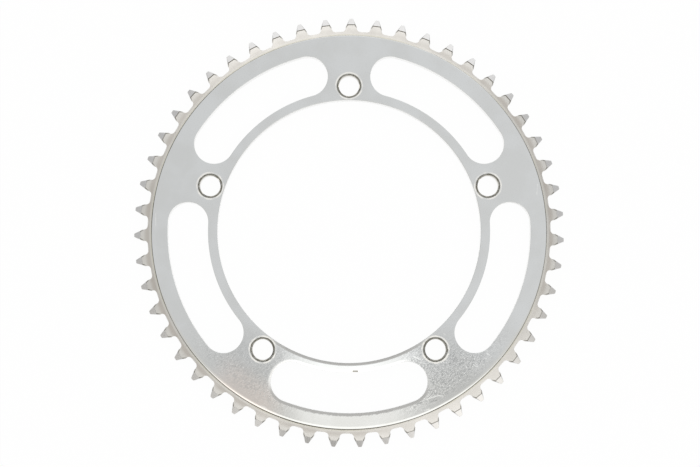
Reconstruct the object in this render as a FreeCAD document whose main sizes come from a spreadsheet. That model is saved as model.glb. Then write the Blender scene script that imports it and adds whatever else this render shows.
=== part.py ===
import FreeCAD, Part
import os
import Sketcher
from FreeCAD import Placement, Rotation, Vector

# A flat bicycle chainring, machined from one plate. The ring's axis is +Z, its back face lies at
# Z = 0 and its finished front face looks up. One bolt hole stands on the +Y axis.
# Lengths are in millimetres and angles in degrees.

doc = FreeCAD.newDocument("Chainring")

# Driving dimensions
sheet = doc.addObject("Spreadsheet::Sheet", "Sizes")
driving_dimensions = [
    # chain fit
    ("pitch", 12.7),
    ("teeth", 51),
    ("roller_diameter", 7.76),
    ("tooth_phase", 0.624),
    # tooth outline, seen from the front
    ("tip_rise", 2.75),
    ("tooth_width", 5.5),
    ("root_fillet", 1.85),
    ("flank_drop", 1.38),
    ("flank_slope", 0.47),
    ("tip_round", 0.5),
    # tooth side bevels
    ("tooth_thickness", 3.0),
    ("crease_drop", 0.4),
    ("tip_bevel_depth", 0.75),
    ("flank_bevel_width", 0.43),
    ("flank_bevel_depth", 0.55),
    # plate and rims
    ("plate_thickness", 5.0),
    ("land_width", 2.05),
    ("outer_rim", 7.9),
    ("inner_rim", 4.55),
    ("hole_rim", 2.1),
    # arms between the slots, and their bolt holes
    ("bolt_circle", 144),
    ("bolt_count", 5),
    ("bolt_hole", 10.1),
    ("countersink_diameter", 12.2),
    ("arm_width", 21.0),
    # broken edges
    ("edge_break", 0.7),
    ("shoulder_break", 0.3),
    ("back_break", 0.35),
]
for row, (alias, size) in enumerate(driving_dimensions, start=1):
    sheet.set(f"A{row}", alias)
    sheet.set(f"B{row}", str(size))
    sheet.setAlias(f"B{row}", alias)
doc.recompute()

# Sizes that follow from the driving ones, written once as expressions
half_pitch_angle = "(180deg / Sizes.teeth)"
tooth_phase = "(Sizes.tooth_phase * 1deg)"
pitch_radius = f"(Sizes.pitch / (2 * sin({half_pitch_angle})))"
root_radius = f"({pitch_radius} - Sizes.roller_diameter / 2)"
tip_radius = f"({pitch_radius} + Sizes.tip_rise)"
crease_radius = f"({pitch_radius} - Sizes.crease_drop)"
shoulder_radius = f"({root_radius} - Sizes.land_width)"
bolt_radius = "(Sizes.bolt_circle / 2)"
hole_radius = "(Sizes.bolt_hole / 2)"
bore_radius = f"({bolt_radius} - {hole_radius} - Sizes.hole_rim)"
faces = ["0", "Sizes.plate_thickness"]
land_back = "((Sizes.plate_thickness - Sizes.tooth_thickness) / 2)"
land_front = "((Sizes.plate_thickness + Sizes.tooth_thickness) / 2)"

slot_inner_radius = f"({bore_radius} + Sizes.inner_rim)"
slot_outer_radius = f"({shoulder_radius} - Sizes.outer_rim)"
slot_middle_radius = f"(({slot_inner_radius} + {slot_outer_radius}) / 2)"
slot_end_radius = f"(({slot_outer_radius} - {slot_inner_radius}) / 2)"
arm_half_angle = f"asin((Sizes.arm_width / 2 + {slot_end_radius}) / {slot_middle_radius})"
slot_half_angle = f"(180deg / Sizes.bolt_count - {arm_half_angle})"

# The sloping flank of a tooth, as a line at flank_angle to the tooth's axis. Its distance from
# the ring's centre fixes the tip corner and the bevel beside it.
tooth_half_width = "(Sizes.tooth_width / 2)"
flank_angle = "atan(Sizes.flank_slope)"
flank_foot = f"({pitch_radius} - Sizes.flank_drop)"
flank_offset = f"({tooth_half_width} * cos({flank_angle}) + {flank_foot} * sin({flank_angle}))"
# How deep the centre of a tip corner lies, as a share of its radius. Under 1, so that the corner
# meets the tip circle at a slight angle.
corner_share = 0.94


def number(expression):
    """The value of an expression, for a sketch's first layout."""
    value = sheet.evalExpression(expression)
    return float(getattr(value, "Value", value))


def plane_of(body, role):
    return next(plane for plane in body.Origin.OriginFeatures if plane.Role == role)


def sketch_on(body, name, role):
    sketch = body.newObject("Sketcher::SketchObject", name)
    sketch.AttachmentSupport = [(plane_of(body, role), "")]
    sketch.MapMode = "FlatFace"
    return sketch


def bind_last(sketch, name, expression):
    """Name the newest constraint and tie its value to the sheet."""
    sketch.renameConstraint(len(sketch.Constraints) - 1, name)
    sketch.setExpression(f"Constraints.{name}", expression)


def hold_point(sketch, name, edge, end, point):
    """Hold one end of a sketch edge at a point given as two expressions."""
    for axis, kind, expression in zip("xy", ("DistanceX", "DistanceY"), point):
        sketch.addConstraint(Sketcher.Constraint(kind, -1, 1, edge, end, number(expression)))
        bind_last(sketch, f"{name}_{axis}", expression)


def draw_edge(sketch, start, finish, arc):
    """Draw a line, or an arc given by its radius and turn, and name its first and last ends."""
    if arc is None:
        return sketch.addGeometry(Part.LineSegment(start, finish), False), 1, 2
    radius, turn = number(arc["radius"]), arc["turn"]
    chord = finish - start
    inward = Vector(-chord.y, chord.x, 0).normalize() * turn
    rise = max(radius ** 2 - (chord.Length / 2) ** 2, 0) ** 0.5
    middle = (start + finish) / 2 + inward * (rise - radius)
    edge = sketch.addGeometry(Part.Arc(start, middle, finish), False)
    return (edge, 1, 2) if turn > 0 else (edge, 2, 1)


def draw_outline(sketch, points, arcs={}):
    """Close a ring of named points, with an arc after each point that arcs names.

    An arc has a radius and a turn, +1 to the left or -1 to the right along the way. A half
    circle also has centre_x, because its radius alone doesn't hold it still.
    """
    names = list(points)
    places = [Vector(number(x), number(y), 0) for x, y in points.values()]
    drawn = []
    for index, name in enumerate(names):
        finish = places[(index + 1) % len(names)]
        drawn.append(draw_edge(sketch, places[index], finish, arcs.get(name)))
    for index, name in enumerate(names):
        edge, first, last = drawn[index]
        following, following_first, _ = drawn[(index + 1) % len(names)]
        joint = Sketcher.Constraint("Coincident", edge, last, following, following_first)
        sketch.addConstraint(joint)
        hold_point(sketch, name, edge, first, points[name])
        arc = arcs.get(name)
        if arc and "centre_x" in arc:
            centre_x = number(arc["centre_x"])
            sketch.addConstraint(Sketcher.Constraint("DistanceX", -1, 1, edge, 3, centre_x))
            bind_last(sketch, f"{name}_centre", arc["centre_x"])
        elif arc:
            sketch.addConstraint(Sketcher.Constraint("Radius", edge, number(arc["radius"])))
            bind_last(sketch, f"{name}_radius", arc["radius"])


def checked_cut(body, feature, before):
    """Recompute, and make sure that a cut took something away from the solid before it."""
    body.Tip = feature
    doc.recompute()
    print(f"{feature.Name}: {before.Shape.Volume:.0f} -> {feature.Shape.Volume:.0f} mm3")
    if not feature.Shape.Volume < before.Shape.Volume:
        raise ValueError(f"{feature.Name} cuts nothing")
    return feature


def polar_pattern(body, name, originals, count):
    """Repeat cuts evenly round the ring's axis."""
    pattern = body.newObject("PartDesign::PolarPattern", name)
    pattern.Originals = originals
    pattern.Axis = (plane_of(body, "Z_Axis"), [""])
    pattern.Angle = 360
    pattern.setExpression("Occurrences", count)
    return checked_cut(body, pattern, originals[-1])


def level_circles(shape, radii, heights):
    """Names of a shape's level circles, whole or part, that have these radii and heights."""
    wanted_radii = [number(radius) for radius in radii]
    wanted_heights = [number(height) for height in heights]
    found = []
    for index, edge in enumerate(shape.Edges, start=1):
        curve = edge.Curve
        if not isinstance(curve, Part.Circle):
            continue
        fits_radius = any(abs(curve.Radius - radius) < 0.001 for radius in wanted_radii)
        fits_height = any(abs(curve.Center.z - height) < 0.001 for height in wanted_heights)
        if fits_radius and fits_height:
            found.append(f"Edge{index}")
    return found


def dress_edges(body, name, base, edges, size):
    """Chamfer the named edges of the feature before it."""
    feature = body.newObject("PartDesign::Chamfer", name)
    feature.Base = (base, edges)
    feature.setExpression("Size", size)
    return checked_cut(body, feature, base)


def turned_blank(body):
    """Plate and tooth band as one turned section, with the bevel that thins the tooth tips."""
    section = sketch_on(body, "ring_section", "YZ_Plane")
    bevel_back = f"({land_back} + Sizes.tip_bevel_depth)"
    bevel_front = f"({land_front} - Sizes.tip_bevel_depth)"
    near_bore = f"({bore_radius} + Sizes.edge_break)"
    near_shoulder = f"({shoulder_radius} - Sizes.shoulder_break)"
    draw_outline(section, {
        "bore_break_back": (near_bore, "0"),
        "shoulder_break_back": (near_shoulder, "0"),
        "shoulder_back": (shoulder_radius, "Sizes.shoulder_break"),
        "corner_back": (shoulder_radius, land_back),
        "crease_back": (crease_radius, land_back),
        "tip_back": (tip_radius, bevel_back),
        "tip_front": (tip_radius, bevel_front),
        "crease_front": (crease_radius, land_front),
        "corner_front": (shoulder_radius, land_front),
        "shoulder_front": (shoulder_radius, "Sizes.plate_thickness - Sizes.shoulder_break"),
        "shoulder_break_front": (near_shoulder, "Sizes.plate_thickness"),
        "bore_break_front": (near_bore, "Sizes.plate_thickness"),
        "bore_front": (bore_radius, "Sizes.plate_thickness - Sizes.edge_break"),
        "bore_back": (bore_radius, "Sizes.edge_break"),
    })
    blank = body.newObject("PartDesign::Revolution", "turned_blank")
    blank.Profile = section
    blank.ReferenceAxis = (plane_of(body, "Z_Axis"), [""])
    blank.Angle = 360
    body.Tip = blank
    doc.recompute()
    return blank


def arm_cuts(body):
    """The curved slots and the countersunk bolt holes, five of each."""
    slot_sketch = sketch_on(body, "slot_outline", "XY_Plane")

    def on_slot(radius, side):
        return (f"{side} * {radius} * sin({slot_half_angle})",
                f"-{radius} * cos({slot_half_angle})")

    def round_end(side):
        centre_x = f"{side} * {slot_middle_radius} * sin({slot_half_angle})"
        return {"radius": slot_end_radius, "turn": 1, "centre_x": centre_x}

    draw_outline(slot_sketch, {
        "outer_left": on_slot(slot_outer_radius, -1),
        "outer_right": on_slot(slot_outer_radius, 1),
        "inner_right": on_slot(slot_inner_radius, 1),
        "inner_left": on_slot(slot_inner_radius, -1),
    }, {
        "outer_left": {"radius": slot_outer_radius, "turn": 1},
        "outer_right": round_end(1),
        "inner_right": {"radius": slot_inner_radius, "turn": -1},
        "inner_left": round_end(-1),
    })
    slot = body.newObject("PartDesign::Pocket", "slot")
    slot.Profile = slot_sketch
    slot.Type = "ThroughAll"
    # The sketch lies on the back face, so the cut runs up from it
    slot.Reversed = True
    checked_cut(body, slot, slot.BaseFeature)

    hole_sketch = sketch_on(body, "bolt_centre", "XY_Plane")
    hole_sketch.setExpression("AttachmentOffset.Base.z", "Sizes.plate_thickness")
    centre = Vector(0, number(bolt_radius), 0)
    circle = Part.Circle(centre, Vector(0, 0, 1), number(hole_radius))
    ring = hole_sketch.addGeometry(circle, False)
    hole_sketch.addConstraint(Sketcher.Constraint("PointOnObject", ring, 3, -2))
    hole_sketch.addConstraint(Sketcher.Constraint("DistanceY", -1, 1, ring, 3, centre.y))
    bind_last(hole_sketch, "bolt_radius", bolt_radius)
    hole_sketch.addConstraint(Sketcher.Constraint("Radius", ring, circle.Radius))
    bind_last(hole_sketch, "hole_radius", hole_radius)
    doc.recompute()

    hole = body.newObject("PartDesign::Hole", "bolt_hole")
    hole.Profile = hole_sketch
    hole.Threaded = False
    hole.DepthType = "ThroughAll"
    hole.HoleCutType = "Countersink"
    hole.HoleCutCustomValues = True
    hole.setExpression("Diameter", "Sizes.bolt_hole")
    hole.setExpression("HoleCutDiameter", "Sizes.countersink_diameter")
    hole.HoleCutCountersinkAngle = 90
    checked_cut(body, hole, slot)
    return polar_pattern(body, "slots_and_holes", [slot, hole], "Sizes.bolt_count")


def break_edges(body, base):
    """Broken edges round the slots on both faces, and round the bolt holes on the back."""
    radii = [slot_inner_radius, slot_outer_radius, slot_end_radius]
    edges = level_circles(base.Shape, radii, faces)
    slots = dress_edges(body, "slot_breaks", base, edges, "Sizes.edge_break")
    edges = level_circles(slots.Shape, [hole_radius], ["0"])
    return dress_edges(body, "hole_breaks", slots, edges, "Sizes.back_break")


def tooth_gap(body):
    """One gap between two teeth, cut right through the band."""
    gap_sketch = sketch_on(body, "gap_outline", "XY_Plane")
    turn = f"-({tooth_phase} + {half_pitch_angle})"
    gap_sketch.AttachmentOffset = Placement(Vector(), Rotation(Vector(0, 0, 1), number(turn)))
    gap_sketch.setExpression("AttachmentOffset.Rotation.Angle", turn)

    def on_tooth(across, along):
        """A point across and along the axis of the tooth on the gap's right side."""
        return (f"({along} * sin({half_pitch_angle}) - {across} * cos({half_pitch_angle}))",
                f"({along} * cos({half_pitch_angle}) + {across} * sin({half_pitch_angle}))")

    # Root fillet, tangent to the gap's round floor and to the tooth's straight lower flank
    fillet_across = f"({tooth_half_width} + Sizes.root_fillet)"
    fillet_along = f"sqrt(({root_radius} + Sizes.root_fillet)^2 - {fillet_across}^2)"
    floor_share = f"({root_radius} / ({root_radius} + Sizes.root_fillet))"
    floor_across = f"({fillet_across} * {floor_share})"
    floor_along = f"({fillet_along} * {floor_share})"
    # Tip corner, tangent to the sloping flank and meeting the tip circle at a slight angle
    corner_along = f"({tip_radius} - {corner_share} * Sizes.tip_round)"
    corner_across = (f"(({flank_offset} - Sizes.tip_round - {corner_along} * sin({flank_angle}))"
                     f" / cos({flank_angle}))")
    flank_end_across = f"({corner_across} + Sizes.tip_round * cos({flank_angle}))"
    flank_end_along = f"({corner_along} + Sizes.tip_round * sin({flank_angle}))"
    corner_top = f"({corner_along} + Sizes.tip_round)"
    outside = f"({corner_top} + Sizes.tip_rise)"

    right = {
        "floor": on_tooth(floor_across, floor_along),
        "fillet_end": on_tooth(tooth_half_width, fillet_along),
        "flank_foot": on_tooth(tooth_half_width, flank_foot),
        "flank_end": on_tooth(flank_end_across, flank_end_along),
        "corner_top": on_tooth(corner_across, corner_top),
        "outside": on_tooth(corner_across, outside),
    }
    left = {f"left_{name}": (f"-{x}", y) for name, (x, y) in right.items()}
    outline = {f"right_{name}": point for name, point in right.items()}
    outline.update(reversed(left.items()))
    draw_outline(gap_sketch, outline, {
        "right_floor": {"radius": "Sizes.root_fillet", "turn": 1},
        "right_flank_end": {"radius": "Sizes.tip_round", "turn": -1},
        "left_corner_top": {"radius": "Sizes.tip_round", "turn": -1},
        "left_fillet_end": {"radius": "Sizes.root_fillet", "turn": 1},
        "left_floor": {"radius": root_radius, "turn": -1},
    })
    gap = body.newObject("PartDesign::Pocket", "tooth_gap")
    gap.Profile = gap_sketch
    gap.Type = "ThroughAll"
    gap.Reversed = True
    return checked_cut(body, gap, gap.BaseFeature)


def flank_bevels(body):
    """Bevels along both flanks of one tooth, front and back."""
    bevel_inner = f"({flank_offset} - Sizes.flank_bevel_width)"
    run_out = (f"(({bevel_inner} * cos({flank_angle}) - {tooth_half_width})"
               f" / sin({flank_angle}))")
    cuts = []
    for name, side in (("leading", 1), ("trailing", -1)):
        sketch = sketch_on(body, f"{name}_bevel_section", "XZ_Plane")
        turn = f"({side} * {flank_angle} - {tooth_phase})"
        sketch.AttachmentOffset = Placement(
            Vector(0, 0, -number(tip_radius)), Rotation(Vector(0, 1, 0), number(turn)))
        sketch.setExpression("AttachmentOffset.Rotation.Angle", turn)
        sketch.setExpression("AttachmentOffset.Base.x", f"-{tip_radius} * sin({turn})")
        sketch.setExpression("AttachmentOffset.Base.z", f"-{tip_radius} * cos({turn})")
        inside = f"{side} * ({bevel_inner} - Sizes.flank_bevel_width)"
        outside = f"{side} * ({bevel_inner} + 2 * Sizes.flank_bevel_width)"
        for face, height, into in (("front", land_front, -1), ("back", land_back, 1)):
            beyond = f"{height} - {into} * Sizes.flank_bevel_depth"
            deepest = f"{height} + 2 * {into} * Sizes.flank_bevel_depth"
            draw_outline(sketch, {
                f"{face}_inside": (inside, beyond),
                f"{face}_outside": (outside, beyond),
                f"{face}_deepest": (outside, deepest),
            })
        cut = body.newObject("PartDesign::Pocket", f"{name}_bevel")
        cut.Profile = sketch
        cut.Type = "Length"
        cut.Length = number(f"{tip_radius} - {run_out}")
        cut.setExpression("Length", f"{tip_radius} - {run_out}")
        cut.Reversed = True
        cuts.append(checked_cut(body, cut, cut.BaseFeature))
    return cuts


chainring = doc.addObject("PartDesign::Body", "chainring")
chainring.Label = "chainring"
chainring.Placement = Placement(Vector(0, 0, 0), Rotation())
turned_blank(chainring)
break_edges(chainring, arm_cuts(chainring))
tooth_cuts = [tooth_gap(chainring)] + flank_bevels(chainring)
polar_pattern(chainring, "all_teeth", tooth_cuts, "Sizes.teeth")

# Check the whole document before anything is written
doc.recompute()
for item in doc.Objects:
    if {"Invalid", "Error"} & set(item.State):
        raise ValueError(f"{item.Name} failed: {item.State}")
if chainring.Shape.isNull() or not chainring.Shape.isValid():
    raise ValueError("chainring has no valid shape")
if len(chainring.Shape.Solids) != 1:
    raise ValueError("chainring isn't one solid")

os.makedirs("parts", exist_ok=True)
chainring.Shape.exportStep("parts/chainring.step")
box = chainring.Shape.BoundBox
print(f"chainring: {box.XLength:.2f} x {box.YLength:.2f} x {box.ZLength:.2f} mm,"
      f" {chainring.Shape.Volume / 1000:.2f} cm3, {len(chainring.Shape.Faces)} faces")
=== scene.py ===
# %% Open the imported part
from math import acos, asin, atan, atan2, cos, pi, radians, sin, sqrt

import bmesh
import bpy
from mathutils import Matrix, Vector


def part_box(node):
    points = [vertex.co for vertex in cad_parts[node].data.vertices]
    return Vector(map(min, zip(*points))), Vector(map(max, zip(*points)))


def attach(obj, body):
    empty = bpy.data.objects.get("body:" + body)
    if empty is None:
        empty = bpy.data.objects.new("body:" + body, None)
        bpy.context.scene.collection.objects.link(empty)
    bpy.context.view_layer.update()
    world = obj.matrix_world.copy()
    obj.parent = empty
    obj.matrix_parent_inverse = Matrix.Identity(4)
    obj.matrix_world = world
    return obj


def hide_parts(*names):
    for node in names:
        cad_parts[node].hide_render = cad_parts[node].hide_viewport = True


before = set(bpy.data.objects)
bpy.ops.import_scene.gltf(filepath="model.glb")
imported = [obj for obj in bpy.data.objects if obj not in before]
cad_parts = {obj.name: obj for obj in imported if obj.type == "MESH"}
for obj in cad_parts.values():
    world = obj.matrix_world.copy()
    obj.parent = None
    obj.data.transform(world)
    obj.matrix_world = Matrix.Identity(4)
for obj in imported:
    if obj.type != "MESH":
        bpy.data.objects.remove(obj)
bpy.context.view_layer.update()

mm = 0.001

# %% [markdown]
# The part is one machined piece of aluminium: a flat chainring with 51 teeth. Its solid comes from
# the frame, in metres, and everything below is drawn in that same frame. The sizes here are the
# ring's own driving sizes. What can be worked out from them, or read from the frame, is never
# typed twice.

# %% Driving sizes
pitch = 12.7 * mm
teeth = 51
tooth_turn = radians(0.624)
roller_radius = 3.88 * mm
tip_rise = 2.75 * mm
land_width = 2.05 * mm
tooth_thickness = 3.0 * mm
plate_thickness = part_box("chainring")[1].z
bolt_circle_radius = 72.0 * mm
bolt_count = 5
hole_radius = 5.05 * mm
countersink_radius = 6.1 * mm
hole_rim = 2.1 * mm
inner_rim = 4.55 * mm
outer_rim = 7.9 * mm
arm_width = 21.0 * mm

# %% Sizes that follow
pitch_angle = 2 * pi / teeth
half_pitch = pitch_angle / 2
pitch_radius = pitch / (2 * sin(half_pitch))
root_radius = pitch_radius - roller_radius
tip_radius = pitch_radius + tip_rise
shoulder_radius = root_radius - land_width
land_front = (plate_thickness + tooth_thickness) / 2
bore_radius = bolt_circle_radius - hole_radius - hole_rim
slot_inner_radius = bore_radius + inner_rim
slot_outer_radius = shoulder_radius - outer_rim
slot_middle_radius = (slot_inner_radius + slot_outer_radius) / 2
slot_end_radius = (slot_outer_radius - slot_inner_radius) / 2
arm_half_angle = asin((arm_width / 2 + slot_end_radius) / slot_middle_radius)
slot_half_angle = pi / bolt_count - arm_half_angle

# %% [markdown]
# Node trees are written with a few small helpers. One adds a node with its settings and inputs,
# another adds one step of arithmetic. A value given to an input is linked when it is a socket and
# typed in when it is a number, so a tree reads like a recipe.

# %% Helpers for node trees
FLOAT, INTEGER, GEOMETRY = "NodeSocketFloat", "NodeSocketInt", "NodeSocketGeometry"
VECTOR, COLOUR = "NodeSocketVector", "NodeSocketColor"


def fill(tree, socket, value):
    """Link a socket to another one, or write a plain value into it."""
    if isinstance(value, bpy.types.NodeSocket):
        tree.links.new(value, socket)
    else:
        socket.default_value = value


def add_node(tree, kind, inputs=None, **settings):
    """Add a node with its settings, and fill its inputs by name or by number."""
    node = tree.nodes.new(kind)
    for name, value in settings.items():
        setattr(node, name, value)
    for key, value in (inputs or {}).items():
        fill(tree, node.inputs[key], value)
    return node


def calculate(tree, operation, *values, clamp=False):
    """One step of arithmetic, as a Math node."""
    node = add_node(tree, "ShaderNodeMath", dict(enumerate(values)), operation=operation,
                    use_clamp=clamp)
    return node.outputs[0]


def combine(tree, x=0.0, y=0.0, z=0.0):
    """A vector from its three parts."""
    return add_node(tree, "ShaderNodeCombineXYZ", {"X": x, "Y": y, "Z": z}).outputs[0]


def new_group(name, kind, inputs, outputs):
    """A node group with named inputs and outputs, and the sockets inside it."""
    tree = bpy.data.node_groups.new(name, kind)
    for label, socket_type in inputs:
        tree.interface.new_socket(label, in_out="INPUT", socket_type=socket_type)
    for label, socket_type in outputs:
        tree.interface.new_socket(label, in_out="OUTPUT", socket_type=socket_type)
    inside = tree.nodes.new("NodeGroupInput")
    outside = tree.nodes.new("NodeGroupOutput")
    return tree, inside.outputs, outside.inputs


def use_group(tree, group, inputs):
    """Place a node group in a tree, fill its inputs and give its outputs."""
    kind = "GeometryNodeGroup" if tree.bl_idname == "GeometryNodeTree" else "ShaderNodeGroup"
    node = add_node(tree, kind, node_tree=group)
    for key, value in inputs.items():
        fill(tree, node.inputs[key], value)
    return node.outputs


# %% [markdown]
# Each tooth has the outline that a roller chain asks for: a round floor, a fillet, a short straight
# flank, a sloping flank and a small rounded tip. Both faces are bevelled, once across the tip and
# once along each sloping flank, so that the chain finds its way on. All teeth are alike, so one is
# drawn here, with half a gap on each side, and Geometry Nodes will repeat it. Flat polygons with
# thin rounded edges keep it light and crisp.

# %% Outline of half a tooth
flank_angle = atan(0.47)
half_width = 2.75 * mm
flank_drop = 1.38 * mm
root_fillet = 1.85 * mm
tip_round = 0.5 * mm
corner_share = 0.94
crease_radius = pitch_radius - 0.4 * mm
tip_bevel_depth = 0.75 * mm
flank_bevel_width = 0.43 * mm
flank_bevel_depth = 0.55 * mm
flank_foot = Vector((half_width, pitch_radius - flank_drop))
outward = Vector((cos(flank_angle), sin(flank_angle)))
up_flank = Vector((-sin(flank_angle), cos(flank_angle)))
flank_offset = flank_foot.dot(outward)
bevel_offset = flank_offset - flank_bevel_width


def arc_points(centre, radius, start, finish, steps):
    """Points along an arc, both ends included."""
    turns = [start + (finish - start) * step / steps for step in range(steps + 1)]
    return [Vector((centre[0] + radius * cos(turn), centre[1] + radius * sin(turn)))
            for turn in turns]


def across_at(offset, height):
    """How far across a line along the flank lies at a given height of the tooth."""
    return (offset - height * sin(flank_angle)) / cos(flank_angle)


fillet_x = half_width + root_fillet
fillet_centre = Vector((fillet_x, sqrt((root_radius + root_fillet) ** 2 - fillet_x ** 2)))
floor_angle = atan2(fillet_centre.y, fillet_centre.x)
# The flank bevel runs out where its inner line meets the root fillet, as a line meets a circle
on_line = outward * bevel_offset
reach = (fillet_centre - on_line).dot(up_flank)
away = fillet_centre.dot(outward) - bevel_offset
run_out = on_line + up_flank * (reach + sqrt(root_fillet ** 2 - away ** 2))
from_centre = run_out - fillet_centre
run_out_angle = atan2(from_centre.y, from_centre.x) % (2 * pi)
# The tip corner ends where it meets the tip circle
corner_y = tip_radius - corner_share * tip_round
corner = Vector((across_at(flank_offset - tip_round, corner_y), corner_y))
rest = tip_radius ** 2 - corner.length_squared - tip_round ** 2
corner_finish = atan2(corner.y, corner.x) - acos(rest / (2 * corner.length * tip_round))
# The flank bevel ends where the two bevels are equally deep
bevel_share = flank_bevel_depth / tip_bevel_depth
meeting_y = crease_radius + bevel_share * (tip_radius - crease_radius)
meeting = Vector((across_at(flank_offset, meeting_y), meeting_y))
crease_corner = Vector((across_at(bevel_offset, crease_radius), crease_radius))

floor = arc_points((0, 0), root_radius, pi / 2 - half_pitch, floor_angle, 2)
lower_fillet = arc_points(fillet_centre, root_fillet, floor_angle + pi, run_out_angle, 7)
upper_fillet = arc_points(fillet_centre, root_fillet, run_out_angle, pi, 1)
tip_corner = arc_points(corner, tip_round, flank_angle, corner_finish, 4)
beside_land = floor[:-1] + lower_fillet
beside_flank = upper_fillet[1:] + [flank_foot, meeting]
beside_tip = tip_corner + [Vector((0, tip_radius))]
print(f"tooth: bevel runs out at {run_out.y / mm:.2f} mm, tip corner ends at",
      f"{tip_corner[-1].length / mm:.2f} mm from the axis")

# %% One tooth as a mesh
band_support = 0.25 * mm
band_radius = shoulder_radius + band_support
steps_per_tooth = 8
edge_softness = 0.1 * mm
sharp_angle = radians(13)


def mirrored(points):
    """The same points on the other side of the tooth, in the opposite order."""
    return [Vector((-point.x, point.y)) for point in reversed(points)]


def front_height(point):
    """Height of the front surface over a point of the tooth's outline."""
    tip_drop = tip_bevel_depth * (point.y - crease_radius) / (tip_radius - crease_radius)
    beyond = Vector((abs(point.x), point.y)).dot(outward) - bevel_offset
    on_flank = point.y > run_out.y
    flank_slope = flank_bevel_depth * beyond / flank_bevel_width if on_flank else 0
    return land_front - max(0, tip_drop, flank_slope)


def make_tooth():
    """One tooth, open at its root and at the middles of the gaps beside it."""
    shape = bmesh.new()
    corners = {}

    def vertex(point, side):
        key = (round(point.x / mm, 5), round(point.y / mm, 5), side)
        if key not in corners:
            height = front_height(point)
            z = height if side == "front" else plate_thickness - height
            corners[key] = shape.verts.new((point.x, point.y, z))
        return corners[key]

    band = arc_points((0, 0), band_radius, pi / 2 + half_pitch, pi / 2 - half_pitch,
                      steps_per_tooth)
    land = band + beside_land + [crease_corner] + mirrored(beside_land + [crease_corner])
    flank = [beside_land[-1]] + beside_flank + [crease_corner]
    tip = [crease_corner, meeting] + beside_tip
    tip = tip + mirrored(tip)[1:]
    outline = beside_land + beside_flank + beside_tip
    outline = outline + mirrored(outline)[1:]
    for side in ("front", "back"):
        for polygon in (land, flank, mirrored(flank), tip):
            shape.faces.new([vertex(point, side) for point in polygon])
    for first, second in zip(outline, outline[1:]):
        shape.faces.new([vertex(first, "front"), vertex(second, "front"),
                         vertex(second, "back"), vertex(first, "back")])
    bmesh.ops.recalc_face_normals(shape, faces=shape.faces)
    sharp = [edge for edge in shape.edges
             if len(edge.link_faces) == 2 and edge.calc_face_angle() > sharp_angle]
    bmesh.ops.bevel(shape, geom=sharp, offset=edge_softness, offset_type="OFFSET", segments=2,
                    profile=0.5, affect="EDGES", clamp_overlap=True)
    mesh = bpy.data.meshes.new("tooth")
    shape.to_mesh(mesh)
    shape.free()
    made = bpy.data.objects.new("tooth", mesh)
    bpy.context.scene.collection.objects.link(made)
    return made


tooth = make_tooth()
print("one tooth:", len(tooth.data.polygons), "faces")

# %% [markdown]
# The rest of the ring follows rules: circles, curved slots and holes, all cut through one plate and
# softened at their edges. In Geometry Nodes each of these is an outline with a section swept along
# it. A section is a short line with rounded corners, so one small helper serves the shoulders, the
# bore, the slots and the bolt holes alike.

# %% Helpers for swept edges
ROUND_STEPS = 6


def section(tree, corners):
    """A swept edge's section, from corners of (outward, height, rounding).

    A sweep along a loop that turns left puts the section's X outwards and its Y downwards.
    """
    points = add_node(tree, "GeometryNodePoints", {"Count": len(corners)})
    index = add_node(tree, "GeometryNodeInputIndex").outputs[0]
    places = add_node(tree, "GeometryNodeIndexSwitch", {"Index": index}, data_type="VECTOR")
    rounds = add_node(tree, "GeometryNodeIndexSwitch", {"Index": index}, data_type="FLOAT")
    for _ in corners[2:]:
        places.index_switch_items.new()
        rounds.index_switch_items.new()
    for number, (out, height, rounding) in enumerate(corners, start=1):
        down = calculate(tree, "MULTIPLY", height, -1.0)
        fill(tree, places.inputs[number], combine(tree, x=out, y=down))
        fill(tree, rounds.inputs[number], rounding)
    placed = add_node(tree, "GeometryNodeSetPosition",
                      {"Geometry": points.outputs[0], "Position": places.outputs[0]})
    line = add_node(tree, "GeometryNodePointsToCurves", {"Points": placed.outputs[0]})
    rounded = add_node(tree, "GeometryNodeFilletCurve",
                       {"Curve": line.outputs[0], "Count": ROUND_STEPS,
                        "Radius": rounds.outputs[0]}, mode="POLY")
    return rounded.outputs[0]


def circle(tree, count, radius):
    """A level circle round the ring's axis."""
    node = add_node(tree, "GeometryNodeCurvePrimitiveCircle",
                    {"Resolution": count, "Radius": radius}, mode="RADIUS")
    return node.outputs[0]


def moved(tree, geometry, shift=(0, 0, 0), turn=0.0):
    """Geometry moved by a vector and turned about the ring's axis."""
    node = add_node(tree, "GeometryNodeTransform",
                    {"Geometry": geometry, "Translation": shift, "Rotation": combine(tree, z=turn)})
    return node.outputs[0]


def joined(tree, pieces):
    """Several geometries as one."""
    node = add_node(tree, "GeometryNodeJoinGeometry")
    for piece in pieces:
        tree.links.new(piece, node.inputs[0])
    return node.outputs[0]


def swept(tree, outline, edge):
    """A section swept along an outline."""
    node = add_node(tree, "GeometryNodeCurveToMesh", {"Curve": outline, "Profile Curve": edge})
    return node.outputs[0]


def repeated(tree, geometry, count, first_turn, step):
    """Copies of a geometry, turned about the ring's axis in equal steps."""
    spots = add_node(tree, "GeometryNodePoints", {"Count": count})
    index = add_node(tree, "GeometryNodeInputIndex").outputs[0]
    turn = calculate(tree, "MULTIPLY_ADD", index, step, first_turn)
    copies = add_node(tree, "GeometryNodeInstanceOnPoints",
                      {"Points": spots.outputs[0], "Instance": geometry,
                       "Rotation": combine(tree, z=turn)})
    return copies.outputs[0]


# %% [markdown]
# A slot is an arc of constant width with round ends. Its outline is four arcs: two along the ring
# and two half circles. Joined end to end as a mesh and turned back into a curve, they make one
# closed loop.

# %% Slot outline
SLOT_SIDE_STEPS = 44
SLOT_END_STEPS = 30


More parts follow.
